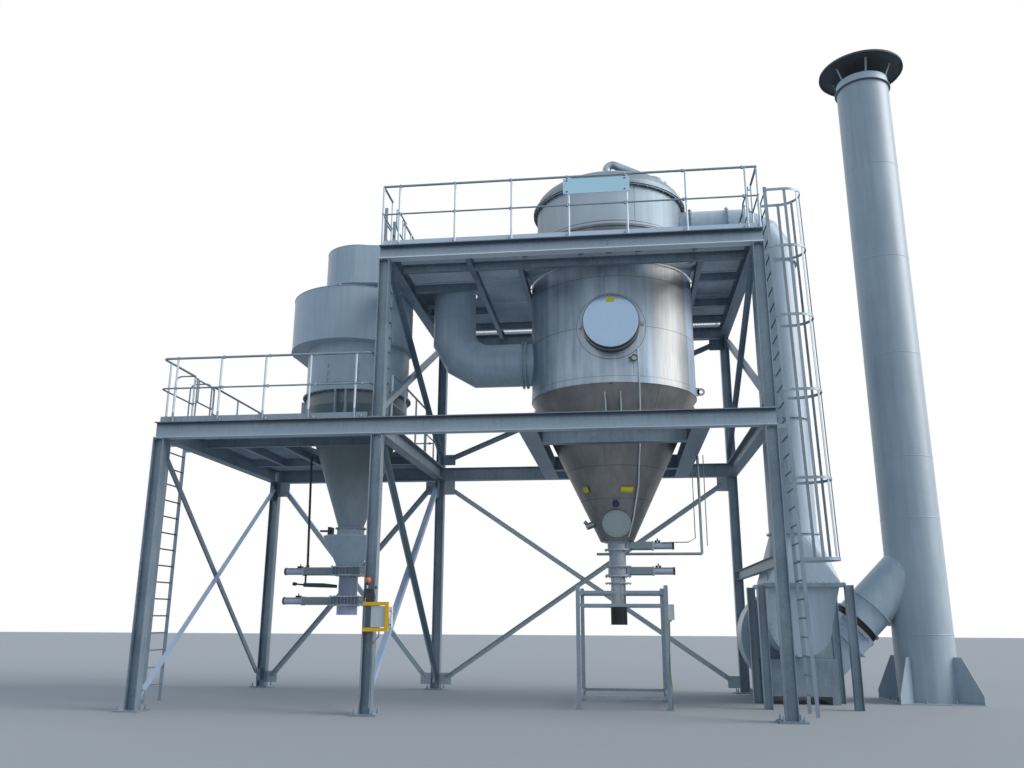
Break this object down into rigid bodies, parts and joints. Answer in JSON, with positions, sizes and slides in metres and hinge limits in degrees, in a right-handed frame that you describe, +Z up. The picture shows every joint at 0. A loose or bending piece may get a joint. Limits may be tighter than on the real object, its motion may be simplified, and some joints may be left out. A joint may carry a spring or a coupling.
{
  "type": "cyclone separator plant",
  "caption": "Industrial dust plant: grey cyclone, round stainless filter vessel, ducts, fan and stack in a two-level steel frame with decks, railings and ladders.",
  "frame": {"origin": "on the ground under the centre of the front left column's base plate", "axes": "+X along the front row of columns towards the stack, +Y from the front row to the back row, +Z up"},
  "size_m": [15.02, 5.76, 13.4],
  "materials": {
    "galvanised_steel": "dull galvanised blue-grey",
    "galvanised_tube": "dull galvanised light grey",
    "grating": "galvanised open grating",
    "grey_paint": "light blue-grey paint, satin",
    "stainless": "brushed stainless sheet with blotchy reflections",
    "valve_grey": "light grey-lilac paint",
    "dark_paint": "dark paint, weathered",
    "motor_paint": "grey-blue paint",
    "box_plastic": "pale grey enclosure",
    "rubber": "black rubber",
    "guard_yellow": "safety yellow paint"
  },
  "bodies": {
    "plant": {"columns": "galvanised_steel", "upper_columns": "galvanised_steel", "lower_beams": "galvanised_steel", "vessel_beams": "galvanised_steel", "lower_joists": "galvanised_steel", "upper_beams": "galvanised_steel", "upper_joists": "galvanised_steel", "lower_grating": "grating", "upper_grating": "grating", "lower_braces": "galvanised_steel", "upper_braces": "galvanised_steel", "lower_rail_long": "galvanised_tube", "lower_rail_short": "galvanised_tube", "upper_rail_long": "galvanised_tube", "upper_rail_short": "galvanised_tube", "ladder_left": "galvanised_tube", "ladder_inner": "galvanised_tube", "ladder_right": "galvanised_tube", "ladder_cage": "galvanised_tube", "outlet_head": "grey_paint", "inlet_scroll": "grey_paint", "cyclone_barrel": "grey_paint", "cyclone_cone": "grey_paint", "dust_hopper": "grey_paint", "dust_valve_upper": "valve_grey", "dust_valve_lower": "valve_grey", "cyclone_brackets": "grey_paint", "transfer_duct": "grey_paint", "vessel_shell": "stainless", "vessel_top": "stainless", "vessel_lid": "stainless", "vessel_cone": "stainless", "vessel_brackets": "stainless", "vent_panel": "stainless", "vessel_valve_upper": "valve_grey", "vessel_valve_lower": "valve_grey", "vessel_chute": "stainless", "chute_sleeve": "rubber", "discharge_stand": "galvanised_tube", "clean_duct": "grey_paint", "fan_inlet_box": "grey_paint", "fan_casing": "grey_paint", "fan_outlet": "grey_paint", "fan_base": "galvanised_steel", "fan_motor": "motor_paint", "fan_frame": "galvanised_steel", "stack_shell": "grey_paint", "stack_base": "grey_paint", "stack_cap": "dark_paint", "purge_pipe": "stainless", "control_box": "box_plastic", "control_guard": "guard_yellow"},
    "lower_gate": {"gate_lower": "galvanised_tube"},
    "inner_gate": {"gate_inner": "galvanised_tube"},
    "right_gate": {"gate_right": "galvanised_tube"}
  },
  "joints": [
    {"name": "lower_gate_hinge", "type": "hinge", "parent": "plant", "child": "lower_gate", "pos_m": [0, 1.13, 5.66], "axis": [0, 0, -1], "range_deg": [0, 85], "stiffness_Nm_per_rad": 4, "springref_deg": -20.05},
    {"name": "inner_gate_hinge", "type": "hinge", "parent": "plant", "child": "inner_gate", "pos_m": [3.905, 1.37, 8.81], "axis": [0, 0, 1], "range_deg": [0, 85], "stiffness_Nm_per_rad": 4, "springref_deg": -20.05},
    {"name": "right_gate_hinge", "type": "hinge", "parent": "plant", "child": "right_gate", "pos_m": [10.41, 0.62, 8.81], "axis": [0, 0, 1], "range_deg": [0, 85], "stiffness_Nm_per_rad": 4, "springref_deg": -20.05}
  ]
}
